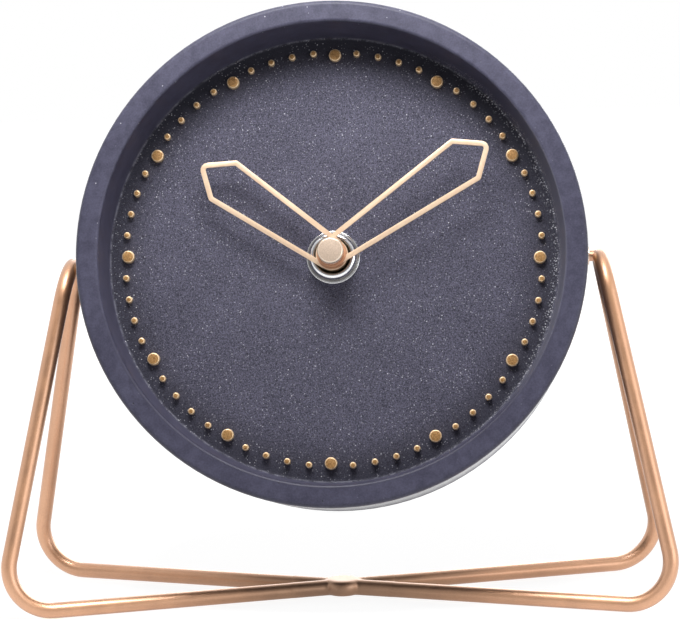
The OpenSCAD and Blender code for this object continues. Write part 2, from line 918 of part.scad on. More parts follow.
module coil_bobbin() {
    color(cream)
        in_case()
            along_core(coil_x0)
                difference() {
                    union() {
                        cylinder(r = bobbin_r, h = coil_len);
                        cylinder(d = coil_d, h = bobbin_flange_t);
                        translate([0, 0, coil_len - bobbin_flange_t])
                            cylinder(d = coil_d, h = bobbin_flange_t);
                    }
                    translate([0, 0, coil_len / 2])
                        cube([lamination_t + 2 * core_room, leg_w + 2 * core_room, coil_len + 2 * past],
                            center = true);
                }
}

module coil_winding() {
    color("chocolate")
        in_case()
            along_core(coil_x0)
                translate([0, 0, bobbin_flange_t])
                    tube(coil_d / 2 - winding_inset, bobbin_r, coil_len - 2 * bobbin_flange_t);
}

// Outline of a wheel or pinion: root, flank and tip on each side of every tooth
function gear_points(teeth, mod) = [
    for (i = [0:teeth - 1])
        let (
            mid = i * 360 / teeth,
            half = 180 / teeth * tooth_share,
            pitch_r = teeth * mod / 2,
            tip_r = tip_radius(teeth, mod),
            root_r = pitch_r - tooth_ded * mod
        )
        each [
            polar(root_r, mid - half * root_share), polar(pitch_r, mid - half),
            polar(tip_r, mid - half * tip_share), polar(tip_r, mid + half * tip_share),
            polar(pitch_r, mid + half), polar(root_r, mid + half * root_share)
        ]
];

// Toothed disc whose front face is at depth d
module gear(teeth, mod, turn, d, t, at = [0, 0], bore_r = 0) {
    translate([at.x, at.y, floor_z - d - t])
        linear_extrude(t)
            difference() {
                rotate(turn) polygon(gear_points(teeth, mod));
                if (bore_r > 0) circle(r = bore_r);
            }
}

// Toothed pinion that meshes with the wheel of a layer
module leaves(teeth, mod, turn, d, at = [0, 0], bore_r = 0) {
    gear(teeth, mod, turn, d - leaf_over, wheel_t + 2 * leaf_over, at, bore_r);
}

// Arbor between the bearings of both walls, with a pivot at each end
module arbor(at) {
    arbor_len = arbor_rear_d - arbor_front_d;
    at_depth(arbor_front_d, at) cylinder(r = arbor_r, h = arbor_len);
    at_depth(arbor_front_d - pin_len, at) cylinder(r = pin_r, h = arbor_len + 2 * pin_len);
}

module rotor_magnet() {
    color(dark)
        in_case()
            at_depth(stator_front + lamination_t / 2 - magnet_h / 2, rotor_at)
                tube(magnet_r, arbor_r + press_gap, magnet_h);
}

module rotor_pinion() {
    color(cream)
        in_case() {
            leaves(rotor_teeth, rotor_mod, rotor_turn, fifth_layer, rotor_at);
            arbor(rotor_at);
        }
}

module fifth_wheel() {
    color(cream)
        in_case() {
            gear(fifth_teeth, rotor_mod, fifth_turn, fifth_layer, wheel_t, fifth_at);
            leaves(fifth_leaves, fifth_mod, fifth_turn, fourth_layer, fifth_at);
            arbor(fifth_at);
        }
}

// Seconds wheel, whose long arbor runs up inside the minute pipe
module fourth_wheel() {
    color(cream)
        in_case() {
            gear(fourth_teeth, fifth_mod, fourth_turn, fourth_layer, wheel_t);
            leaves(fourth_leaves, fourth_mod, fourth_turn, third_layer);
            at_depth(third_layer) cylinder(r = second_r, h = arbor_rear_d - third_layer);
            at_depth(third_layer) cylinder(r = pin_r, h = arbor_rear_d + pin_len - third_layer);
            translate([0, 0, floor_z - third_layer])
                cylinder(r = second_r, h = second_top_z - floor_z + third_layer);
        }
}

module third_wheel() {
    color(cream)
        in_case() {
            gear(third_teeth, fourth_mod, third_turn, third_layer, wheel_t, third_at);
            leaves(third_leaves, third_mod, third_turn, centre_layer, third_at);
            arbor(third_at);
        }
}

// Minute wheel of the going train, free to slip on the minute pipe
module centre_wheel() {
    bore_r = minute_hub_r + run_fit;
    color(brass)
        in_case() {
            gear(centre_teeth, third_mod, centre_turn, centre_layer, wheel_t, [0, 0], bore_r);
            at_depth(centre_layer - centre_hub_h) tube(centre_hub_r, bore_r, centre_hub_h);
        }
}

// Cannon pinion with the long pipe that carries the minute hand
module minute_pipe() {
    hub_front_d = minute_layer + leaf_over;
    pipe_top_z = dial_z + minute_hand_h + hand_t;
    color(brass)
        in_case()
            difference() {
                union() {
                    leaves(cannon_teeth, cannon_mod, cannon_turn, minute_layer);
                    at_depth(hub_front_d) cylinder(r = minute_hub_r, h = cannon_foot_d - hub_front_d);
                    translate([0, 0, floor_z - minute_layer])
                        cylinder(r = minute_pipe_r, h = pipe_top_z - floor_z + minute_layer);
                    translate([0, 0, pipe_top_z]) cylinder(r = cap_thread_r, h = cap_thread_len);
                }
                translate([0, 0, floor_z - cannon_foot_d - past])
                    cylinder(r = minute_bore_r, h = minute_bore_top_z - floor_z + cannon_foot_d + past);
            }
}

// Spring ring that presses the centre wheel against the cannon pinion
module clutch_spring() {
    color(steel)
        in_case()
            at_depth(spring_front)
                tube(spring_r, minute_hub_r + press_gap, spring_t);
}

module minute_wheel() {
    bore_r = post_r + run_fit;
    pinion_len = minute_layer - end_shake;
    color(cream)
        in_case() {
            gear(minute_teeth, cannon_mod, minute_turn, minute_layer, wheel_t, minute_at, bore_r);
            gear(minute_leaves, minute_mod, minute_turn, end_shake, pinion_len, minute_at, bore_r);
        }
}

module hour_wheel() {
    pipe_top_z = dial_z + hour_hand_h + hand_t;
    color(cream)
        in_case() {
            gear(hour_teeth, minute_mod, hour_turn, hour_layer, wheel_t, [0, 0], hour_bore_r);
            translate([0, 0, floor_z - hour_layer - wheel_t])
                tube(hour_pipe_r, hour_bore_r, pipe_top_z - floor_z + hour_layer + wheel_t);
        }
}

// Shaft that carries the knob's turn forward to the minute wheel
module setting_shaft() {
    rear_z = cover_z - cover_t - shake - knob_t;
    color(cream)
        in_case() {
            leaves(setting_teeth, cannon_mod, setting_turn, minute_layer, setting_at);
            at_depth(setting_front_d - pin_len, setting_at) cylinder(r = setting_pin_r, h = pin_len + past);
            translate([setting_at.x, setting_at.y, rear_z])
                cylinder(r = setting_r, h = floor_z - setting_front_d - rear_z);
        }
}

// Thumb knob with a milled edge
module setting_knob() {
    flutes = 24;
    flute_r = 0.45;
    color(dark)
        in_case()
            translate([setting_at.x, setting_at.y, cover_z - cover_t - shake - knob_t])
                difference() {
                    cylinder(d = knob_d, h = knob_t);
                    translate([0, 0, -past]) cylinder(r = setting_r + press_gap, h = knob_t + 2 * past);
                    for (i = [0:flutes - 1])
                        rotate([0, 0, i * 360 / flutes])
                            translate([knob_d / 2, 0, -past])
                                cylinder(r = flute_r, h = knob_t + 2 * past, $fn = 24);
                }
}

// Open outline of a hand that points along +y, with a disc round the axis
module hand(length, shoulder, disc_r, bore_r, collet_h) {
    root = disc_r + hand_root_rim;
    neck_y = length - point_len;
    half_w = shoulder + stroke_w / 2;
    tip_out = hand_tip_r + stroke_w / 2;
    tip_in = hand_tip_r - stroke_w / 2;
    outer = [[root, 0], [half_w, neck_y], [0, length], [-half_w, neck_y], [-root, 0]];
    inner = inset(outer, stroke_w);
    difference() {
        union() {
            linear_extrude(hand_t)
                difference() {
                    polygon(rounded(outer, [0, hand_shoulder_r, tip_out, hand_shoulder_r, 0]));
                    polygon(rounded(inner, [0, 0, tip_in, 0, 0]));
                }
            cylinder(r = disc_r, h = hand_t);
            translate([0, 0, -collet_h]) cylinder(r = bore_r + collet_wall, h = collet_h);
        }
        translate([0, 0, -collet_h - past]) cylinder(r = bore_r, h = collet_h + hand_t + 2 * past);
    }
}

module hour_hand() {
    color(rose)
        in_case()
            translate([0, 0, dial_z + hour_hand_h])
                rotate([0, 0, -hour_angle])
                    hand(hour_len, hour_shoulder, hour_disc_r,
                        hour_pipe_r + press_gap, hour_collet_h);
}

module minute_hand() {
    color(rose)
        in_case()
            translate([0, 0, dial_z + minute_hand_h])
                rotate([0, 0, -minute_angle])
                    hand(minute_len, minute_shoulder, minute_disc_r,
                        minute_pipe_r + press_gap, minute_collet_h);
}

// Cap nut on the end of the minute pipe
module hand_cap() {
    bore_r = cap_thread_r + press_gap;
    bore_len = cap_thread_len + shake;
    color(rose)
        in_case()
            translate([0, 0, dial_z + minute_hand_h + hand_t])
                rotate_extrude()
                    polygon([
                        [bore_r, 0], [cap_d / 2, 0], [cap_d / 2, cap_h - cap_bevel],
                        [cap_d / 2 - cap_bevel, cap_h], [0, cap_h],
                        [0, bore_len], [bore_r, bore_len]
                    ]);
}

stand_wire_left();
stand_wire_right();
stand_weld();
pivot_stud_left();
pivot_stud_right();
pivot_washer_left();
pivot_washer_right();
case();
pivot_bush_left();
pivot_bush_right();
hour_studs();
minute_studs();
dial_washer();
dial_nut();
movement_gasket();
threaded_bush();
movement_front();
movement_rear();
battery();
battery_contact_plus();
battery_contact_minus();
circuit_board();
quartz_can();
stator();
coil_core();
coil_bobbin();
coil_winding();
rotor_magnet();
rotor_pinion();
fifth_wheel();
fourth_wheel();
third_wheel();
centre_wheel();
minute_pipe();
clutch_spring();
minute_wheel();
hour_wheel();
setting_shaft();
setting_knob();
hour_hand();
minute_hand();
hand_cap();
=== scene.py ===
# %% [markdown]
# # A table clock in a wire stand
# The clock is a round drum of cast stone, open at the front, which tilts on two studs in a stand of bent
# wire. Its solids come from CAD as a fixed frame, so this lesson is about looks: light, finishes, and the
# small rounded edges that catch the light. Blender counts in metres, and `MM` turns millimetres into
# metres.

# %% Load the frame
import json
import math

import bmesh
import bpy
from mathutils import Matrix, Vector


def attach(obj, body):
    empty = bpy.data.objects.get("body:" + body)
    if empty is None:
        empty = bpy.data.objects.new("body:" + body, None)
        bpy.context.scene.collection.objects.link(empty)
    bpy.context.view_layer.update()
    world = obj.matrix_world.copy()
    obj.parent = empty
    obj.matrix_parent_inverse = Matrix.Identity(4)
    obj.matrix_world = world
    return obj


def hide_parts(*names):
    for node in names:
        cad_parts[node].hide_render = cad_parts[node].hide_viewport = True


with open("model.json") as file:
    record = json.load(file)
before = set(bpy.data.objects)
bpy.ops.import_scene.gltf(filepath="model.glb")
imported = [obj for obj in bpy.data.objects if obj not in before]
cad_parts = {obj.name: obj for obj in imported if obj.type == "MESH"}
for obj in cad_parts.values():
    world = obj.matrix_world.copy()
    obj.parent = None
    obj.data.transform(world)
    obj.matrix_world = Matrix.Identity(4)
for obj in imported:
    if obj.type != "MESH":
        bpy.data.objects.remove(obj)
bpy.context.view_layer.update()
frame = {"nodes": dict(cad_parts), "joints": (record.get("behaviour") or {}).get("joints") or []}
nodes = frame["nodes"]
bpy.context.scene.view_settings.view_transform = "Standard"
print("CAD nodes:", len(nodes))

# %% [markdown]
# ## The clock's own directions
# The dial leans back, so many later steps need its axis. The joints of the record hold it: the case tilts
# about the line through both studs, and the minute hand turns about the axis that stands out of the dial.
# Reading them is safer than typing the angle again, because the CAD may change.

# %% Dial axis and tilting axis
MM = 0.001
joints = {joint["name"]: joint for joint in frame["joints"]}
pivot = Vector(joints["case_tilt"]["pos_m"])
dial_right = Vector(joints["case_tilt"]["axis"]).normalized()
dial_out = Vector(joints["minute_turn"]["axis"]).normalized()
dial_up = dial_out.cross(dial_right)
dial_axes = Matrix((dial_right, dial_up, dial_out)).transposed().to_4x4()
dial_frame = Matrix.Translation(pivot) @ dial_axes
print("dial leans back", round(math.degrees(math.asin(dial_out.z)), 1), "degrees")

# %% [markdown]
# ## The camera
# The picture was taken from a little above the table and a little to the right, with a long lens. A long
# lens keeps the drum's ellipse almost round. The camera turns a little about its own line of sight, as a
# hand-held one does, and a small shift puts the clock where it stands in the frame.

# %% Camera
view_azimuth = math.radians(3.43)
view_elevation = math.radians(6.21)
view_roll = math.radians(-1.5)
view_distance = 585.25 * MM
view_target = Vector((0, 0, 80.64 * MM))
focal_pixels = 2256.61
picture_width = 680
picture_middle = Vector((340, 309.5))
target_pixel = Vector((335.45, 289.22))

camera_back = Vector((
    math.sin(view_azimuth) * math.cos(view_elevation),
    -math.cos(view_azimuth) * math.cos(view_elevation),
    math.sin(view_elevation),
))
level_right = Vector((math.cos(view_azimuth), math.sin(view_azimuth), 0))
level_up = camera_back.cross(level_right)
camera_right = math.cos(view_roll) * level_right + math.sin(view_roll) * level_up
camera_up = camera_back.cross(camera_right)

lens = bpy.data.cameras.new("camera")
lens.sensor_width = 36
lens.lens = lens.sensor_width * focal_pixels / picture_width
lens.shift_x = (picture_middle.x - target_pixel.x) / picture_width
lens.shift_y = (target_pixel.y - picture_middle.y) / picture_width
lens.clip_end = 100
camera = bpy.data.objects.new("camera", lens)
bpy.context.scene.collection.objects.link(camera)
turn = Matrix((camera_right, camera_up, camera_back)).transposed().to_4x4()
camera.matrix_world = Matrix.Translation(view_target + camera_back * view_distance) @ turn
bpy.context.scene.camera = camera
print("lens", round(lens.lens, 1), "mm, shift", round(lens.shift_x, 4), round(lens.shift_y, 4))

# %% [markdown]
# ## Shader maths in Python
# A finish is a tree of nodes, and a tree for a mottled, speckled stone has dozens of them. Wiring each by
# hand hides the idea. So one small class wraps a socket: an expression such as `1 - mask` adds the Math
# node that works it out, and `node` adds any other kind, with its settings first and then the values or
# links of its sockets.

# %% The Shade class
def feed(tree, socket, value):
    """Links a Shade to a socket, or sets the socket to a plain value."""
    if isinstance(value, Shade):
        tree.links.new(value.socket, socket)
    elif socket.type == "RGBA" and len(value) == 3:
        socket.default_value = (*value, 1)
    else:
        socket.default_value = value


class Shade:
    """A node tree with one of its sockets, for use in expressions."""

    def __init__(self, tree, socket=None):
        self.tree = tree
        self.socket = socket

    def node(self, kind, settings=None, sockets=None, out=0):
        """Adds a node and returns one of its outputs."""
        made = self.tree.nodes.new(kind)
        for name, value in (settings or {}).items():
            setattr(made, name, value)
        for name, value in (sockets or {}).items():
            feed(self.tree, made.inputs[name], value)
        return Shade(self.tree, made.outputs[out])

    def math(self, operation, first, second=0.0):
        return self.node("ShaderNodeMath", {"operation": operation}, {0: first, 1: second})

    def __add__(self, other):
        return self.math("ADD", self, other)

    __radd__ = __add__

    def __sub__(self, other):
        return self.math("SUBTRACT", self, other)

    def __rsub__(self, other):
        return self.math("SUBTRACT", other, self)

    def __mul__(self, other):
        return self.math("MULTIPLY", self, other)

    __rmul__ = __mul__

    def __pow__(self, other):
        return self.math("POWER", self, other)

    def __abs__(self):
        return self.math("ABSOLUTE", self)

    def at_least(self, other):
        return self.math("MAXIMUM", self, other)

    def rises(self, low, high):
        """0 below one value and 1 above another, with a smooth change between them."""
        return self.node(
            "ShaderNodeMapRange",
            {"interpolation_type": "SMOOTHSTEP"},
            {"Value": self, "From Min": low, "From Max": high},
        )

    def vector(self, operation, first, second, out=0):
        return self.node("ShaderNodeVectorMath", {"operation": operation}, {0: first, 1: second}, out)

    def along(self, direction):
        """How far a point lies in a direction."""
        return self.vector("DOT_PRODUCT", self, direction, "Value")

    def blend(self, factor, first, second):
        """A colour between two others."""
        return self.node(
            "ShaderNodeMix", {"data_type": "RGBA"}, {0: factor, 6: first, 7: second}, 2
        )

    def mix_shaders(self, factor, first, second):
        """One shader where the factor is 0, another where it is 1."""
        return self.node("ShaderNodeMixShader", None, {0: factor, 1: first, 2: second})


print("a Shade takes + - * ** and abs()")

# %% [markdown]
# ## Patterns that the finishes share
# Most finishes need the same three things: where a point is, a soft cloud of noise, and scattered grains.
# Object coordinates are used, so that a pattern stays on its piece when the clock is tilted. They are
# turned into millimetres, because a maker thinks of a 0.3 mm grain and not of a scale of 3333.

# %% Finish helpers
def dress(shade, shader, **inputs):
    """Sets or links a shader's inputs by name, with _ for a space."""
    for socket, value in inputs.items():
        feed(shade.tree, shader.inputs[socket.replace("_", " ")], value)


def new_finish(name, **constants):
    """A new material: the material, a Shade for its tree, and its Principled shader with constants set."""
    material = bpy.data.materials.new(name)
    material.use_nodes = True
    shade = Shade(material.node_tree)
    shader = material.node_tree.nodes["Principled BSDF"]
    dress(shade, shader, **constants)
    return material, shade, shader


def paint(names, material):
    """Gives CAD nodes a finish."""
    for name in names:
        for slot in nodes[name].material_slots:
            slot.material = material


print("finish helpers:", dress.__name__, new_finish.__name__, paint.__name__)


# %% Pattern helpers
def in_millimetres(shade):
    """The point of the surface, in millimetres."""
    place = shade.node("ShaderNodeTexCoord", out="Object")
    return shade.vector("MULTIPLY", place, (1 / MM,) * 3)


def from_dial(point):
    """A point as counted from the middle of the drum, in millimetres."""
    return point.vector("SUBTRACT", point, tuple(pivot / MM))


def cloud(point, size, detail=2.0, roughness=0.5):
    """Noise from 0 to 1 whose lumps are about as large as the size."""
    return point.node(
        "ShaderNodeTexNoise",
        None,
        {"Vector": point, "Scale": 1 / size, "Detail": detail, "Roughness": roughness},
    )


def grains(point, spacing, radius):
    """1 in small balls, about one to a cell of the spacing, and 0 between them."""
    near = point.node(
        "ShaderNodeTexVoronoi", None, {"Vector": point, "Scale": 1 / spacing}, "Distance"
    )
    return 1 - near.rises(0.5 * radius / spacing, 1.2 * radius / spacing)


def bump(shader, shade, height, depth, strength):
    """Lets a height from 0 to 1 lift the surface by a depth in metres."""
    normal = shade.node(
        "ShaderNodeBump", None, {"Height": height, "Distance": depth, "Strength": strength}
    )
    dress(shade, shader, Normal=normal)


print("pattern helpers:", cloud.__name__, grains.__name__, bump.__name__)

# %% [markdown]
# ## The world
# Behind the clock is white, and soft light comes from all round. Metal shows what is round it, so the
# world has a second face for glossy rays: white overhead, behind and at both sides, and dull in front,
# where the photographer stands. Without that dull part, copper would look like paint.

# %% World
world = bpy.data.worlds.new("studio")
bpy.context.scene.world = world
world.use_nodes = True
sky = Shade(world.node_tree)
ambient_level = 0.14
studio_low = 0.3
studio_high = 1.0
ray = sky.node("ShaderNodeLightPath", out="Is Camera Ray")
through = sky.node("ShaderNodeLightPath", out="Is Transmission Ray")
glossy = sky.node("ShaderNodeLightPath", out="Is Glossy Ray")
toward = sky.node("ShaderNodeTexCoord", out="Generated")
upper = toward.along((0, 0, 1)).rises(0.42, 0.85)
behind = toward.along((0, 1, 0)).rises(-0.05, 0.4)
beside = abs(toward.along((1, 0, 0))).rises(0.45, 0.85)
studio = studio_low + (studio_high - studio_low) * upper.at_least(behind).at_least(beside)
level = glossy * studio + (1 - glossy) * ambient_level
shown = ray.at_least(through)
light = shown + (1 - shown) * level
backdrop = world.node_tree.nodes["Background"]
dress(sky, backdrop, Color=(1, 1, 1), Strength=light)
print("world nodes:", len(world.node_tree.nodes))

# %% [markdown]
# ## The table
# The table has to look white and still take the clock's shadow. A lit white surface is never quite white
# in a picture, so the table glows a little where the camera sees it, and fully further off, which hides
# the horizon. Metal sees a paler table than the one that lights the clock, but a darker one close to the
# base rods.


# %% Table
def table_finish():
    """White with the clock's shadow to the camera and in mirrors, and a plain table to other rays."""
    material = bpy.data.materials.new("pale_table")
    material.use_nodes = True
    tree = material.node_tree
    tree.nodes.remove(tree.nodes["Principled BSDF"])
    shade = Shade(tree)

    def white(glow, lit):
        own_light = shade.node("ShaderNodeEmission", None, {"Color": (1, 1, 1), "Strength": glow})
        lit_part = shade.node("ShaderNodeBsdfDiffuse", None, {"Color": (lit,) * 3})
        return shade.node("ShaderNodeAddShader", None, {0: own_light, 1: lit_part})

    seen = shade.node("ShaderNodeLightPath", out="Is Camera Ray")
    mirrored = shade.node("ShaderNodeLightPath", out="Is Glossy Ray")
    place = shade.node("ShaderNodeTexCoord", out="Object")
    from_clock = shade.vector("LENGTH", place, (0, 0, 0), "Value")
    far = from_clock.rises(0.08, 0.3)
    clear_of_rods = from_clock.rises(0.05, 0.1)
    in_picture = shade.mix_shaders(far, white(glow=0.9, lit=0.3), white(glow=1.0, lit=0.3))
    in_mirror = shade.mix_shaders(clear_of_rods, white(glow=0.55, lit=0.45), white(glow=0.9, lit=0.4))
    pale = shade.node("ShaderNodeBsdfDiffuse", None, {"Color": (0.55, 0.55, 0.55)})
    unseen = shade.mix_shaders(mirrored, pale, in_mirror)
    feed(tree, tree.nodes["Material Output"].inputs["Surface"], shade.mix_shaders(seen, unseen, in_picture))
    return material


floor_half = 4.0
floor_mesh = bpy.data.meshes.new("table_top")
shape = bmesh.new()
bmesh.ops.create_grid(shape, x_segments=1, y_segments=1, size=floor_half)
shape.to_mesh(floor_mesh)
shape.free()
table_top = bpy.data.objects.new("table_top", floor_mesh)
bpy.context.scene.collection.objects.link(table_top)
floor_mesh.materials.append(table_finish())
print("table top", 2 * floor_half, "m wide")

# %% [markdown]
# ## The lamps
# One soft lamp hangs close in front and above: it draws the shadow of the rim on the dial, and a lamp
# further off would draw it too short. A wide one at the right fills the left wall of the recess, and a
# third one lights the back. All are area lamps, because a large lamp gives soft edges to shadows and to
# the streaks on the wire.


# %% Lamps
def soft_lamp(name, direction, distance, width, height, watts):
    """A flat lamp, in metres, that looks at the drum from a direction."""
    data = bpy.data.lights.new(name, "AREA")
    data.shape = "RECTANGLE"
    data.size = width
    data.size_y = height
    data.energy = watts
    lamp = bpy.data.objects.new(name, data)
    bpy.context.scene.collection.objects.link(lamp)
    outward = Vector(direction).normalized()
    lamp.location = pivot + outward * distance
    lamp.rotation_euler = outward.to_track_quat("Z", "Y").to_euler()
    print(name, [round(value, 2) for value in lamp.location])


soft_lamp("key_lamp", (-0.03, -0.44, 0.898), distance=0.27, width=0.18, height=0.11, watts=1.02)
soft_lamp("fill_lamp", (0.78, -0.62, 0.1), distance=0.9, width=0.7, height=0.3, watts=1.6)
soft_lamp("back_lamp", (0.25, 0.93, 0.25), distance=0.8, width=0.8, height=0.5, watts=3.4)

# %% [markdown]
# ## Cast stone: where is what
# The drum is a resin cast full of stone flour. The mould left the rim and the side smooth, with a few
# pits. The dial was left rough, so mineral grains glitter in it. One material does all of it, with masks:
# the height along the dial's axis and the distance from that axis tell dial, wall, rim, side and back
# from each other.

# %% Masks of the drum
dial_height = 6.05
rim_height = 19.1
dial_radius = 57.8
mouth_radius = 58.8
side_radius = 64.0

stone, shade, shader = new_finish(
    "cast_stone", Specular_IOR_Level=0.3, Coat_IOR=1.28, Coat_Roughness=0.16,
)
point = in_millimetres(shade)
place = from_dial(point)
height = place.along(dial_out)
across = place.along(dial_right)
rise = place.along(dial_up)
radius = (across * across + rise * rise) ** 0.5
off_dial = abs(height - dial_height)
inside = 1 - radius.rises(dial_radius - 0.3, dial_radius + 0.2)
on_dial = inside * (1 - off_dial.rises(0.25, 0.5))
on_side = radius.rises(side_radius - 0.2, side_radius + 0.4)
on_rim = height.rises(rim_height - 3, rim_height - 1)
within_mouth = 1 - radius.rises(mouth_radius + 0.1, mouth_radius + 0.5)
in_recess = within_mouth * height.rises(dial_height - 1.0, dial_height - 0.5)
print("nodes for the main masks:", len(shade.tree.nodes))

# %% [markdown]
# ## Cast stone: edges that differ
# Stone flour gathered in the corner of the recess. Painted light brightens the recess's right wall, and
# painted shade darkens the dial towards the corner, most at the top under the rim. Painted glints of white
# grains crowd the border at the right, which gets 1 mm narrower below, and painted shade darkens the rim's
# inner edge in the lower half. Each is a mask of its own, so that it can be made stronger or weaker alone.

# %% Masks of the edges
at_wall = radius.rises(dial_radius - 0.75, dial_radius - 0.3)
corner = in_recess * at_wall * (1 - off_dial.rises(0.2, 0.5))
low_part = (0 - rise).rises(12, 38)
near_wall = (radius - low_part).rises(dial_radius - 2.4, dial_radius - 0.3)
border = in_recess * near_wall * (1 - off_dial.rises(2.5, 6.0))
# painted shade: the dial darkens towards its border, most at the top, under the rim
painted_border_shade = radius.rises(45, 56.5) * (0.7 + 0.2 * rise.rises(10, 45))
right_side = across.rises(18, 44)
# painted light: the right wall of the recess is made paler
painted_light_wall = in_recess * across.rises(40, 56) * off_dial.rises(0.4, 1.0)
past_wall = radius.rises(mouth_radius - 0.3, mouth_radius)
at_mouth = past_wall * (1 - radius.rises(mouth_radius + 0.4, mouth_radius + 1.1))
inner_edge = at_mouth * height.rises(rim_height - 1.4, rim_height - 0.8)
lower_half = (0 - rise).rises(0, 30)
upper_left = (rise - across).rises(10, 70) * on_rim
lower_left = (0 - rise - across).rises(0, 60) * on_rim
print("nodes for all masks:", len(shade.tree.nodes))

# %% Colour of the stone
dial_dark = (0.022, 0.021, 0.034)
dial_light = (0.138, 0.133, 0.191)
# colour of the painted shade at the dial's border
dial_shade_dark = (0.018, 0.018, 0.028)
skin_dark = (0.044, 0.042, 0.070)
skin_light = (0.098, 0.096, 0.150)
# pale of the stone flour in the corner, and of the painted light on the right wall
flour_and_light_pale = (0.20, 0.20, 0.25)

mottle = cloud(point, 0.34, 2.0, 0.8)
drift = cloud(point, 14.0, 2.0)
dial_tone = (mottle * 0.92 + drift * 0.08).rises(0.32, 0.68)
skin_cloud = cloud(point, 0.45, 3.0, 0.6) * 0.4 + cloud(point, 2.4, 3.0) * 0.4 + drift * 0.2
skin_tone = skin_cloud.rises(0.25, 0.75)
open_colour = shade.blend(dial_tone, dial_dark, dial_light)
# painted shade at the dial's border
dial_colour = shade.blend(painted_border_shade, open_colour, dial_shade_dark)
clean_colour = shade.blend(skin_tone, skin_dark, skin_light)
# painted shade on the rim's inner edge in the lower half, which hides the lamp's highlight there
edge_shade_colour = shade.blend(inner_edge * lower_half * 0.8, clean_colour, skin_dark)
# painted light on the right wall of the recess
skin_colour = shade.blend(painted_light_wall * 0.5, edge_shade_colour, flour_and_light_pale)
stone_colour = shade.blend(on_dial, skin_colour, dial_colour)
broken = cloud(point, 1.6, 3.0, 0.7).rises(0.38, 0.62)
edged_colour = shade.blend(corner * broken * 0.65, stone_colour, flour_and_light_pale)
print("nodes with colours:", len(shade.tree.nodes))

# %% [markdown]
# ## Cast stone: grains, pits and gloss
# The grains are small balls in space, so the surface cuts them at random sizes, as a real cast does. Two
# sizes lie on the dial, in patches. The outer side has a clear coat with a low index of refraction: it
# mirrors the table at a low angle, and is satin where one looks straight at it.

# %% Grains and pits
grain_white = (0.72, 0.72, 0.78)
pit_black = (0.014, 0.014, 0.022)
patchy = cloud(point, 7.0, 2.0).rises(0.35, 0.65)
bright_grains = grains(point, 1.6, 0.16) * (0.3 + 0.65 * patchy)
fine_grains = grains(point, 0.75, 0.14) * (0.18 + 0.3 * patchy)
dial_grains = bright_grains.at_least(fine_grains)
skin_grains = grains(point, 2.6, 0.17) * (0.1 + 0.6 * upper_left)
drifts = cloud(point, 2.2, 2.0).rises(0.36, 0.56)
# painted glints: white grains crowd the border at the right, where light catches them
painted_glints = grains(point, 0.55, 0.19) * border * right_side * drifts
grains_and_glints = (on_dial * dial_grains + (1 - on_dial) * skin_grains).at_least(painted_glints)
pits = grains(point, 3.4, 0.24) * (1 - on_dial) * (0.25 + 0.75 * lower_left)
pitted_colour = shade.blend(pits * 0.8, edged_colour, pit_black)
dress(shade, shader, Base_Color=shade.blend(grains_and_glints, pitted_colour, grain_white))
print("nodes with grains:", len(shade.tree.nodes))

# %% Gloss and relief of the stone
skin_rough = 0.38 + 0.1 * skin_tone
dial_rough = 0.75 - 0.25 * grains_and_glints
dress(
    shade, shader,
    Roughness=on_dial * dial_rough + (1 - on_dial) * skin_rough,
    Coat_Weight=on_side * (0.85 - 0.15 * skin_tone),
)
relief = on_dial * (mottle * 0.4 + grains_and_glints * 0.5) + (1 - on_dial) * (0.1 * skin_tone - pits)
bump(shader, shade, relief, 0.1 * MM, 0.7)
paint(["case"], stone)
print("nodes in the stone:", len(shade.tree.nodes))

# %% [markdown]
# ## Copper-coloured wire
# The stand is steel wire with a satin copper coat. A metallic shader with a high roughness gives the long
# soft streaks that a round wire shows. Clear lacquer lies over the copper, so a second, colourless gloss
# turns the lights cream and the edges pale. Close to the weld the rods are darker and browner, with less
# lacquer gloss, fading out further along. Clouds change the tone a little, as in a sprayed coat, and the
# bump stays very low, because a deeper one would break the streaks.

# %% Wire finish
copper, shade, shader = new_finish(
    "copper_wire", Metallic=1.0, Coat_Roughness=0.36, Coat_IOR=2.15,
)
weld_middle = sum((Vector(corner) for corner in nodes["stand_weld"].bound_box), Vector()) / 8
weld_dark_radius = 6
weld_fade_radius = 48
point = in_millimetres(shade)
from_weld = shade.vector("DISTANCE", point, tuple(weld_middle / MM), "Value")
# darker and browner close to the weld, fading out by the outer radius
near_weld = 1 - from_weld.rises(weld_dark_radius, weld_fade_radius)
spray = cloud(point, 0.5, 2.0)
tone = (spray * 0.35 + cloud(point, 7.0, 2.0) * 0.65).rises(0.3, 0.7)
copper_colour = shade.blend(tone, (0.58, 0.27, 0.115), (0.69, 0.34, 0.155))
near_weld_colour = shade.blend(tone, (0.27, 0.15, 0.085), (0.36, 0.205, 0.12))
dress(
    shade, shader,
    Base_Color=shade.blend(near_weld * 0.85, copper_colour, near_weld_colour),
    Coat_Weight=1 - 0.55 * near_weld,
    Roughness=0.42 + 0.08 * tone,
)
bump(shader, shade, spray, 0.006 * MM, 0.3)
paint(["stand_wire_left", "stand_wire_right", "pivot_stud_left", "pivot_stud_right"], copper)
print("nodes in the copper coat:", len(shade.tree.nodes))

# %% [markdown]
# ## Other metals
# The small metal pieces differ in colour and in polish. One helper makes them all: two tones that a fine
# cloud mixes, a roughness that follows the same cloud, and a slight unevenness of the surface.


# %% Metal finishes
def metal(name, dark, light, rough):
    """A metal of two close tones, with a roughness range and a fine uneven surface."""
    grain = 0.4
    material, shade, shader = new_finish(name, Metallic=1.0)
    point = in_millimetres(shade)
    tone = (cloud(point, grain, 3.0) * 0.6 + cloud(point, 12 * grain, 2.0) * 0.4).rises(0.3, 0.7)
    smooth, dull = rough
    dress(
        shade, shader,
        Base_Color=shade.blend(tone, dark, light),
        Roughness=smooth + (dull - smooth) * tone,
    )
    bump(shader, shade, cloud(point, grain, 2.0), 0.01 * MM, 0.3)
    return material


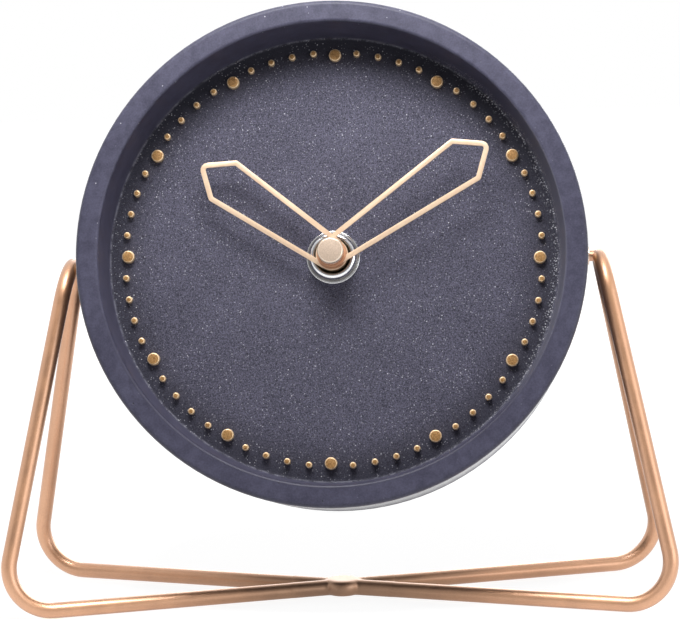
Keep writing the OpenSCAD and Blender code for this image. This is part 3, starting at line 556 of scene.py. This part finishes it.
pale_copper = metal("pale_copper", (0.80, 0.62, 0.52), (0.90, 0.74, 0.64), (0.3, 0.42))
brass = metal("brass", (0.70, 0.50, 0.22), (0.80, 0.60, 0.30), (0.22, 0.34))
dull_brass = metal("dull_brass", (0.16, 0.125, 0.075), (0.26, 0.205, 0.125), (0.32, 0.45))
steel = metal("bright_steel", (0.60, 0.60, 0.62), (0.70, 0.70, 0.72), (0.2, 0.32))
lamination = metal("lamination", (0.42, 0.42, 0.44), (0.52, 0.52, 0.54), (0.35, 0.5))
magnet = metal("magnet", (0.16, 0.16, 0.17), (0.24, 0.24, 0.25), (0.4, 0.55))
coil_copper = metal("coil_copper", (0.55, 0.22, 0.08), (0.70, 0.32, 0.14), (0.25, 0.4))

paint(["pivot_washer_left", "pivot_washer_right"], pale_copper)
paint(["threaded_bush"], dull_brass)
paint(["pivot_bush_left", "pivot_bush_right", "centre_wheel", "minute_pipe"], brass)
paint(["battery_contact_plus", "battery_contact_minus", "quartz_can", "clutch_spring"], steel)
paint(["stator", "coil_core"], lamination)
paint(["rotor_magnet"], magnet)
paint(["coil_winding"], coil_copper)
print("finishes so far:", len(bpy.data.materials))

# %% [markdown]
# ## The polished nut
# Bright plating covers the washer and the nut. The corner between the nut's bead and its foot is painted
# dark grey, as painted shade and a painted dark reflection. The distance from the dial's axis finds that
# corner. The nut's own sizes are named here, because its shape needs them later.

# %% Nut finish
foot_radius = 6.5
foot_top = 7.2
bead_radius = 6.05

bright_nut, shade, shader = new_finish("bright_nut", Metallic=1.0)
point = in_millimetres(shade)
place = from_dial(point)
from_axis = (place.along(dial_right) ** 2 + place.along(dial_up) ** 2) ** 0.5
past_bead = from_axis.rises(bead_radius - 0.15, bead_radius)
on_foot = past_bead * (1 - from_axis.rises(foot_radius - 0.1, foot_radius + 0.02))
in_corner = on_foot * (1 - place.along(dial_out).rises(foot_top + 0.3, foot_top + 1.1))
tone = (cloud(point, 0.4, 3.0) * 0.5 + cloud(point, 3.0, 2.0) * 0.5).rises(0.3, 0.7)
plating = shade.blend(tone, (0.78, 0.78, 0.79), (0.86, 0.86, 0.87))
# painted shade and dark reflection in the corner between bead and foot
painted_corner_shade = shade.blend(tone, (0.07, 0.065, 0.06), (0.16, 0.15, 0.14))
dress(
    shade, shader,
    Base_Color=shade.blend(in_corner * 0.9, plating, painted_corner_shade),
    Roughness=0.12 + 0.05 * tone + 0.3 * in_corner,
)
bump(shader, shade, cloud(point, 0.4, 2.0), 0.005 * MM, 0.1)
print("nodes in the plating:", len(shade.tree.nodes))

# %% [markdown]
# ## Bronze of the markers
# The markers' faces are dull and brown, and their rounded rims are painted pale, as a painted highlight.
# The rims lie a little lower than the faces, so the height above the dial tells them apart.

# %% Marker finish
marker_top = dial_height + 1.5
marker_bronze, shade, shader = new_finish("marker_bronze", Metallic=0.45)
point = in_millimetres(shade)
on_face = from_dial(point).along(dial_out).rises(marker_top - 0.016, marker_top - 0.004)
tone = cloud(point, 0.35, 3.0, 0.7).rises(0.32, 0.68)
face_colour = shade.blend(tone, (0.29, 0.14, 0.045), (0.60, 0.34, 0.13))
# painted highlight: the pale cream of the rounded rims
rim_highlight_colour = shade.blend(tone, (0.72, 0.50, 0.29), (0.95, 0.73, 0.47))
dress(
    shade, shader,
    Base_Color=shade.blend(on_face, rim_highlight_colour, face_colour),
    Roughness=0.36 + 0.14 * tone,
)
bump(shader, shade, tone * on_face, 0.02 * MM, 0.4)
print("nodes in the markers:", len(shade.tree.nodes))

# %% [markdown]
# ## The hands' coat
# The hands are sheet metal with a pale rose coat, more paint than mirror, so the shader is only partly
# metallic. Round the axis the copper tone is painted shade under the cap, with a painted copper reflection.
# On the cut sides the copper shows because the spray hardly reached them. The distance from the dial's
# axis and the height along it make those masks.

# %% Hand finish
disc_radius = 3.95
hour_top = 11.85
minute_top = 14.35

rose_hand, shade, shader = new_finish("rose_hand", Metallic=0.25)
point = in_millimetres(shade)
place = from_dial(point)
across = place.along(dial_right)
rise = place.along(dial_up)
near_axis = 1 - (across * across + rise * rise).rises((disc_radius - 0.2) ** 2, disc_radius ** 2)
height = place.along(dial_out)
below_minute = 1 - height.rises(hour_top + 0.3, hour_top + 0.5)
on_hour_top = height.rises(hour_top - 0.05, hour_top - 0.01) * below_minute
on_top = on_hour_top.at_least(height.rises(minute_top - 0.05, minute_top - 0.01))
# painted shade with copper reflection near the axis, and bare copper on the cut sides
shade_and_bare_sides = (near_axis * 0.85).at_least(0.7 - 0.7 * on_top)
tone = (cloud(point, 0.5, 3.0) * 0.5 + cloud(point, 6.0, 2.0) * 0.5).rises(0.3, 0.7)
coat_colour = shade.blend(tone, (0.85, 0.61, 0.42), (0.92, 0.70, 0.50))
# copper for the painted shade near the axis and for the cut sides
copper_shade_and_sides = shade.blend(tone, (0.55, 0.25, 0.125), (0.68, 0.33, 0.18))
dress(
    shade, shader,
    Base_Color=shade.blend(shade_and_bare_sides, coat_colour, copper_shade_and_sides),
    Roughness=0.3 + 0.08 * tone,
)
bump(shader, shade, cloud(point, 0.5, 2.0), 0.008 * MM, 0.2)
print("nodes in the hands' coat:", len(shade.tree.nodes))

# %% [markdown]
# ## The cap on the hands
# The cap is turned from rod: its face is brushed and champagne coloured, its edge is cut bright, and its
# side shows more copper. Heights along the dial's axis tell the three apart, so one material is enough.

# %% Cap finish
cap_top = 19.1
cap_edge = 0.5
champagne, shade, shader = new_finish("champagne_cap", Metallic=0.6)
point = in_millimetres(shade)
height = from_dial(point).along(dial_out)
on_face = height.rises(cap_top - 0.1, cap_top - 0.03)
on_wall = 1 - height.rises(cap_top - cap_edge - 0.15, cap_top - cap_edge)
brushed = cloud(point, 0.3, 3.0, 0.7).rises(0.3, 0.7)
face_colour = shade.blend(brushed, (0.66, 0.50, 0.38), (0.82, 0.65, 0.52))
edge_colour = shade.blend(on_wall, (0.97, 0.84, 0.68), (0.86, 0.52, 0.34))
dress(
    shade, shader,
    Base_Color=shade.blend(on_face, edge_colour, face_colour),
    Roughness=0.2 + on_face * (0.12 + 0.1 * brushed),
)
bump(shader, shade, brushed * on_face, 0.01 * MM, 0.4)
print("nodes in the cap:", len(shade.tree.nodes))

# %% [markdown]
# ## Plastics and rubber
# Moulded plastic has a fine spark-eroded texture, so its gloss is broken up. The helper is the metal's
# cousin: two tones, a roughness range and a bump, without the metal.


# %% Plastic finishes
def plastic(name, dark, light, rough, grain, depth):
    """A moulded plastic of two close tones, with a texture of a grain and a depth in millimetres."""
    material, shade, shader = new_finish(name)
    point = in_millimetres(shade)
    tone = (cloud(point, grain, 3.0, 0.6) * 0.6 + cloud(point, 40 * grain, 2.0) * 0.4).rises(0.3, 0.7)
    smooth, dull = rough
    dress(
        shade, shader,
        Base_Color=shade.blend(tone, dark, light),
        Roughness=smooth + (dull - smooth) * tone,
    )
    bump(shader, shade, cloud(point, grain, 2.0), depth * MM, 0.6)
    return material


black_plastic = plastic(
    "black_plastic", (0.030, 0.030, 0.033), (0.052, 0.052, 0.057), (0.36, 0.5), grain=0.25, depth=0.03,
)
natural_plastic = plastic(
    "natural_plastic", (0.66, 0.63, 0.55), (0.74, 0.71, 0.63), (0.35, 0.5), grain=0.4, depth=0.01,
)
rubber = plastic(
    "gasket_rubber", (0.012, 0.012, 0.012), (0.022, 0.022, 0.022), (0.7, 0.85), grain=0.3, depth=0.03,
)
board = plastic(
    "board", (0.02, 0.11, 0.045), (0.03, 0.16, 0.065), (0.35, 0.5), grain=0.5, depth=0.01,
)
natural_pieces = [
    "coil_bobbin", "rotor_pinion", "fifth_wheel", "fourth_wheel", "third_wheel", "minute_wheel",
    "hour_wheel", "setting_shaft",
]
paint(["movement_front", "movement_rear", "setting_knob"], black_plastic)
paint(natural_pieces, natural_plastic)
paint(["movement_gasket"], rubber)
paint(["circuit_board"], board)
print("finishes so far:", len(bpy.data.materials))

# %% [markdown]
# ## New pieces
# CAD edges are knife sharp, and real ones never are: a hand punched from sheet and a turned stud have
# soft edges that draw a bright line. A few small helpers serve all new pieces. One turns a bmesh into an
# object that rides on a CAD body and hides the CAD nodes it replaces. Another takes a copy of a CAD
# mesh and merges its loose triangles. A third dissolves flat triangles into whole faces and bevels the
# sharp edges that are left.


# %% Piece helpers
def new_piece(name, shape, material, body, slot, replaced):
    """Makes an object of a bmesh, rides it on a body and hides the CAD nodes it replaces."""
    smooth_below = math.radians(35)
    mesh = bpy.data.meshes.new(name)
    shape.to_mesh(mesh)
    shape.free()
    mesh.materials.append(material)
    mesh.shade_smooth()
    mesh.set_sharp_from_angle(angle=smooth_below)
    piece = bpy.data.objects.new(name, mesh)
    bpy.context.scene.collection.objects.link(piece)
    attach(piece, body)
    if replaced:
        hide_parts(*replaced)
    print(name, len(mesh.polygons), "faces")
    return piece


def merged_copy(*names):
    """A bmesh of CAD nodes, with its loose triangles merged and without their stored normals."""
    shape = bmesh.new()
    for name in names:
        shape.from_mesh(nodes[name].data)
    for layers in (shape.loops.layers.float_vector, shape.verts.layers.float_vector):
        for layer in layers.values():
            layers.remove(layer)
    bmesh.ops.remove_doubles(shape, verts=shape.verts, dist=0.002 * MM)
    return shape


def height_on_axis(vert):
    """How far a vertex lies out along the dial's axis, in metres."""
    return (vert.co - pivot).dot(dial_out)


def soften(shape, width, segments, sharp_above, behind=math.inf):
    """Joins flat triangles and rounds edges sharper than an angle, if they lie behind a height."""
    flat = math.radians(1)
    bmesh.ops.dissolve_limit(shape, angle_limit=flat, verts=shape.verts, edges=shape.edges)
    sharp = [
        edge for edge in shape.edges
        if edge.calc_face_angle(0) > math.radians(sharp_above)
        and all(height_on_axis(vert) < behind for vert in edge.verts)
    ]
    bmesh.ops.bevel(
        shape, geom=sharp, offset=width, affect="EDGES", segments=segments, profile=0.5, material=-1,
        clamp_overlap=True,
    )


print("piece helpers:", new_piece.__name__, merged_copy.__name__, soften.__name__)

# %% [markdown]
# ## Dial markers
# Each marker is a turned stud pressed into the dial, with a flat face and a rounded rim that catches the
# light. A cylinder from `create_cone` stands at each place. Bevelling all top rims at once is quicker
# than finishing one stud after another.


# %% Markers
def marker_ring(name, replaced, places, ring_radius, stud_radius, rim_round):
    """A ring of round-rimmed studs at some of the sixty minute places."""
    dial_turn = 1.2
    sunk = 0.4
    foot = (dial_height - sunk) * MM
    top = marker_top * MM
    shape = bmesh.new()
    for place in places:
        angle = math.radians(6 * place + dial_turn)
        outward = dial_right * math.sin(angle) + dial_up * math.cos(angle)
        middle = pivot + outward * ring_radius * MM + dial_out * (foot + top) / 2
        bmesh.ops.create_cone(
            shape, cap_ends=True, segments=28, radius1=stud_radius * MM, radius2=stud_radius * MM,
            depth=top - foot, matrix=Matrix.Translation(middle) @ dial_axes,
        )
    rims = [
        edge for edge in shape.edges
        if all(height_on_axis(vert) > top - 0.01 * MM for vert in edge.verts)
    ]
    bmesh.ops.bevel(
        shape, geom=rims, offset=rim_round * MM, affect="EDGES", segments=4, profile=0.5, material=-1,
    )
    new_piece(name, shape, marker_bronze, "case", "marker_bronze", [replaced])


hour_places = range(0, 60, 5)
minute_places = [place for place in range(60) if place % 5]
marker_ring(
    "hour_markers", "hour_studs", hour_places, ring_radius=52.8, stud_radius=1.6, rim_round=0.34,
)
marker_ring(
    "minute_markers", "minute_studs", minute_places, ring_radius=53.5, stud_radius=0.85, rim_round=0.36,
)

# %% [markdown]
# ## Hands and cap
# The hands are open outlines punched from thin sheet, so the punch rounded their upper edges a little.
# The CAD hand has the right outline, so a merged copy of it is bevelled all round. The cap's turned edges
# are softened in the same way.

# %% Hands and cap
for hand in ("hour", "minute"):
    shape = merged_copy(hand + "_hand")
    soften(shape, 0.14 * MM, segments=2, sharp_above=50)
    new_piece(hand + "_hand_strip", shape, rose_hand, hand, "rose_hand", [hand + "_hand"])

shape = merged_copy("hand_cap")
soften(shape, 0.16 * MM, segments=3, sharp_above=30)
new_piece("cap_nut", shape, champagne, "minute", "champagne_cap", ["hand_cap"])

# %% [markdown]
# ## Washer and nut at the dial's centre
# The nut that holds the movement is turned and polished: a low foot, a round bead, and a funnel inside.
# Polished metal only looks right if its curves are round, so the nut is made anew. Half of its section is
# drawn as a few corners, a vertex bevel rounds them, and `spin` turns the section about the dial's axis.


# %% Turning helper
def turned(section, place, steps=96):
    """A bmesh of a section spun about the Z axis of a place: corners of radius, height and rounding."""
    shape = bmesh.new()
    corners = [shape.verts.new((radius * MM, 0, height * MM)) for radius, height, rounding in section]
    for first, second in zip(corners, corners[1:]):
        shape.edges.new((first, second))
    for corner, (radius, height, rounding) in zip(corners, section):
        if rounding:
            bmesh.ops.bevel(
                shape, geom=[corner], offset=rounding * MM, affect="VERTICES", segments=5, profile=0.5,
                material=-1,
            )
    bmesh.ops.spin(
        shape, geom=shape.verts[:] + shape.edges[:], cent=(0, 0, 0), axis=(0, 0, 1), angle=math.tau,
        steps=steps, use_merge=True,
    )
    bmesh.ops.remove_doubles(shape, verts=shape.verts, dist=0.001 * MM)
    bmesh.ops.recalc_face_normals(shape, faces=shape.faces)
    bmesh.ops.transform(shape, matrix=place, verts=shape.verts)
    return shape


print("turning helper:", turned.__name__)

# %% Nut and washer
nut_foot = 6.6
nut_top = 9.45
nut_bore = 4.15
lip_radius = 4.75
funnel_bottom = 8.3
nut_section = [
    (nut_bore, nut_foot, 0),
    (foot_radius, nut_foot, 0),
    (foot_radius, foot_top, 0.2),
    (bead_radius, foot_top + 0.1, 0.15),
    (bead_radius, nut_top, 1.05),
    (lip_radius, nut_top, 0.2),
    (nut_bore, funnel_bottom, 0.1),
    (nut_bore, nut_foot, 0),
]
new_piece("round_nut", turned(nut_section, dial_frame), bright_nut, "case", "bright_nut", ["dial_nut"])

shape = merged_copy("dial_washer")
soften(shape, 0.16 * MM, segments=3, sharp_above=50)
new_piece("nut_washer", shape, bright_nut, "case", "bright_nut", ["dial_washer"])

# %% [markdown]
# ## The weld
# Four rods meet in one nugget of weld metal, which ran into the corners between them before it was
# coated. Hard CAD edges can't show that. Copies of the nugget and of the rod ends are fused by a voxel
# remesh and then smoothed: that fills hollow corners and shrinks the rods a little, so the piece sinks
# into the CAD rods where it ends.

# %% Weld
weld_reach = 14 * MM
shape = merged_copy("stand_wire_left", "stand_wire_right", "stand_weld")
for side in (-1, 1):
    bmesh.ops.bisect_plane(
        shape, geom=shape.verts[:] + shape.edges[:] + shape.faces[:], dist=0.001 * MM,
        plane_co=(side * weld_reach, 0, 0), plane_no=(side, 0, 0), clear_outer=True,
    )
    bmesh.ops.holes_fill(shape, edges=[edge for edge in shape.edges if edge.is_boundary])
weld = new_piece("weld_bead", shape, copper, "stand", "copper_wire", ["stand_weld"])
fuse = weld.modifiers.new("fuse", "REMESH")
fuse.mode = "VOXEL"
fuse.voxel_size = 0.3 * MM
fuse.use_smooth_shade = True
melt = weld.modifiers.new("melt", "SMOOTH")
melt.factor = 0.5
melt.iterations = 24
swell = weld.modifiers.new("swell", "DISPLACE")
swell.strength = 0.1 * MM
swell.mid_level = 0
print("weld modifiers:", [modifier.name for modifier in weld.modifiers])

# %% [markdown]
# ## The battery
# A round cell has a printed sleeve whose ends are rolled over the metal, and a small cap at its plus end.
# Its section is spun like the nut's. Sleeve and metal are one material: the distance from the cell's axis
# tells them apart, and the place along it makes the pale band of the plus end.

# %% Battery finish
cell_rise = -19.05
cell_depth = -9.45
cell_radius = 7.25
band_start = 9.9

cell, shade, shader = new_finish("cell_sleeve")
point = in_millimetres(shade)
place = from_dial(point)
off_rise = place.along(dial_up) - cell_rise
off_depth = place.along(dial_out) - cell_depth
from_axis = (off_rise ** 2 + off_depth ** 2) ** 0.5
on_sleeve = from_axis.rises(cell_radius - 0.55, cell_radius - 0.4)
pale_band = place.along(dial_right).rises(band_start, band_start + 0.1)
tone = (cloud(point, 0.4, 3.0) * 0.5 + cloud(point, 5.0, 2.0) * 0.5).rises(0.3, 0.7)
dark_print = shade.blend(tone, (0.035, 0.042, 0.06), (0.05, 0.06, 0.08))
pale_print = shade.blend(tone, (0.42, 0.43, 0.45), (0.5, 0.51, 0.53))
bare_metal = shade.blend(tone, (0.55, 0.55, 0.56), (0.68, 0.68, 0.69))
sleeve_colour = shade.blend(pale_band, dark_print, pale_print)
dress(
    shade, shader,
    Base_Color=shade.blend(on_sleeve, bare_metal, sleeve_colour),
    Metallic=1 - 0.75 * on_sleeve,
    Roughness=0.24 + 0.12 * tone,
)
bump(shader, shade, cloud(point, 0.6, 2.0), 0.01 * MM, 0.3)
print("nodes in the cell's sleeve:", len(shade.tree.nodes))

# %% Battery
cell_axes = Matrix((dial_up, dial_out, dial_right)).transposed().to_4x4()
cell_middle = pivot + dial_up * cell_rise * MM + dial_out * cell_depth * MM
sleeve_end = 24.74
plate_end = 24.5
groove_end = 24.3
shoulder_end = 24.45
cap_radius = 2.7
cap_foot = 25.0
cap_end = 25.74
cell_section = [
    (0, -plate_end, 0),
    (4.6, -plate_end, 0.1),
    (5.0, -groove_end, 0.1),
    (6.6, -groove_end, 0.1),
    (6.75, -sleeve_end, 0.1),
    (cell_radius, -sleeve_end, 0.3),
    (cell_radius, sleeve_end, 0.4),
    (6.5, sleeve_end, 0.1),
    (6.2, shoulder_end, 0.1),
    (3.6, shoulder_end, 0.2),
    (cap_radius, cap_foot, 0.2),
    (cap_radius, cap_end, 0.3),
    (0, cap_end, 0),
]
cell_shape = turned(cell_section, Matrix.Translation(cell_middle) @ cell_axes, steps=64)
new_piece("cell", cell_shape, cell, "case", "cell_can", ["battery"])

# %% [markdown]
# ## Back of the movement
# The movement's cover and its setting knob are moulded, and moulded edges are round. Copies of the CAD
# solids are bevelled at the back only, because nobody sees the inside.

# %% Cover and knob
cover_back = -16.95
knob_back = -18.8
for name, replaced, body, back, width in (
    ("rear_cover", "movement_rear", "case", cover_back, 0.35),
    ("set_knob", "setting_knob", "setting", knob_back, 0.22),
):
    shape = merged_copy(replaced)
    soften(shape, width * MM, segments=3, sharp_above=50, behind=(back + 0.1) * MM)
    new_piece(name, shape, black_plastic, body, "black_plastic", [replaced])

# %% [markdown]
# ## Clips and signs
# Small clips hold the cover at both sides, and raised signs show which way round the battery goes. All
# are blocks from `create_cube`, placed on the dial's axes and bevelled together.


# %% Clips and signs
def block(shape, right, up, out, size):
    """Adds a block at a place on the dial's axes, with sizes along them."""
    sizes = Matrix.Diagonal((*(Vector(size) * MM), 1))
    place = Matrix.Translation(Vector((right, up, out)) * MM)
    bmesh.ops.create_cube(shape, size=1, matrix=dial_frame @ place @ sizes)


def rounded_blocks(name, shape, rounding):
    """Rounds all edges of some blocks and makes them a moulded piece of the case."""
    bmesh.ops.bevel(
        shape, geom=shape.edges[:], offset=rounding * MM, affect="EDGES", segments=2, profile=0.5,
        material=-1,
    )
    new_piece(name, shape, black_plastic, "case", "black_plastic", [])


box_half = 28.0
clip_size = (0.9, 6.0, 7.0)
hook_size = (0.9, 6.0, 1.4)
clip_out = -13.4
hook_out = -11.2
shape = bmesh.new()
for side in (-1, 1):
    for clip_up in (-2, 18):
        block(shape, side * (box_half + 0.3), clip_up, clip_out, clip_size)
        block(shape, side * (box_half + 0.55), clip_up, hook_out, hook_size)
rounded_blocks("cover_clips", shape, 0.2)

sign_right = 24.2
sign_up = -8.4
sign_bar = (3.0, 0.8, 1.0)
sign_post = (0.8, 3.0, 0.96)
shape = bmesh.new()
block(shape, sign_right, sign_up, cover_back, sign_bar)
block(shape, sign_right, sign_up, cover_back, sign_post)
block(shape, -sign_right, sign_up, cover_back, sign_bar)
rounded_blocks("battery_signs", shape, 0.15)
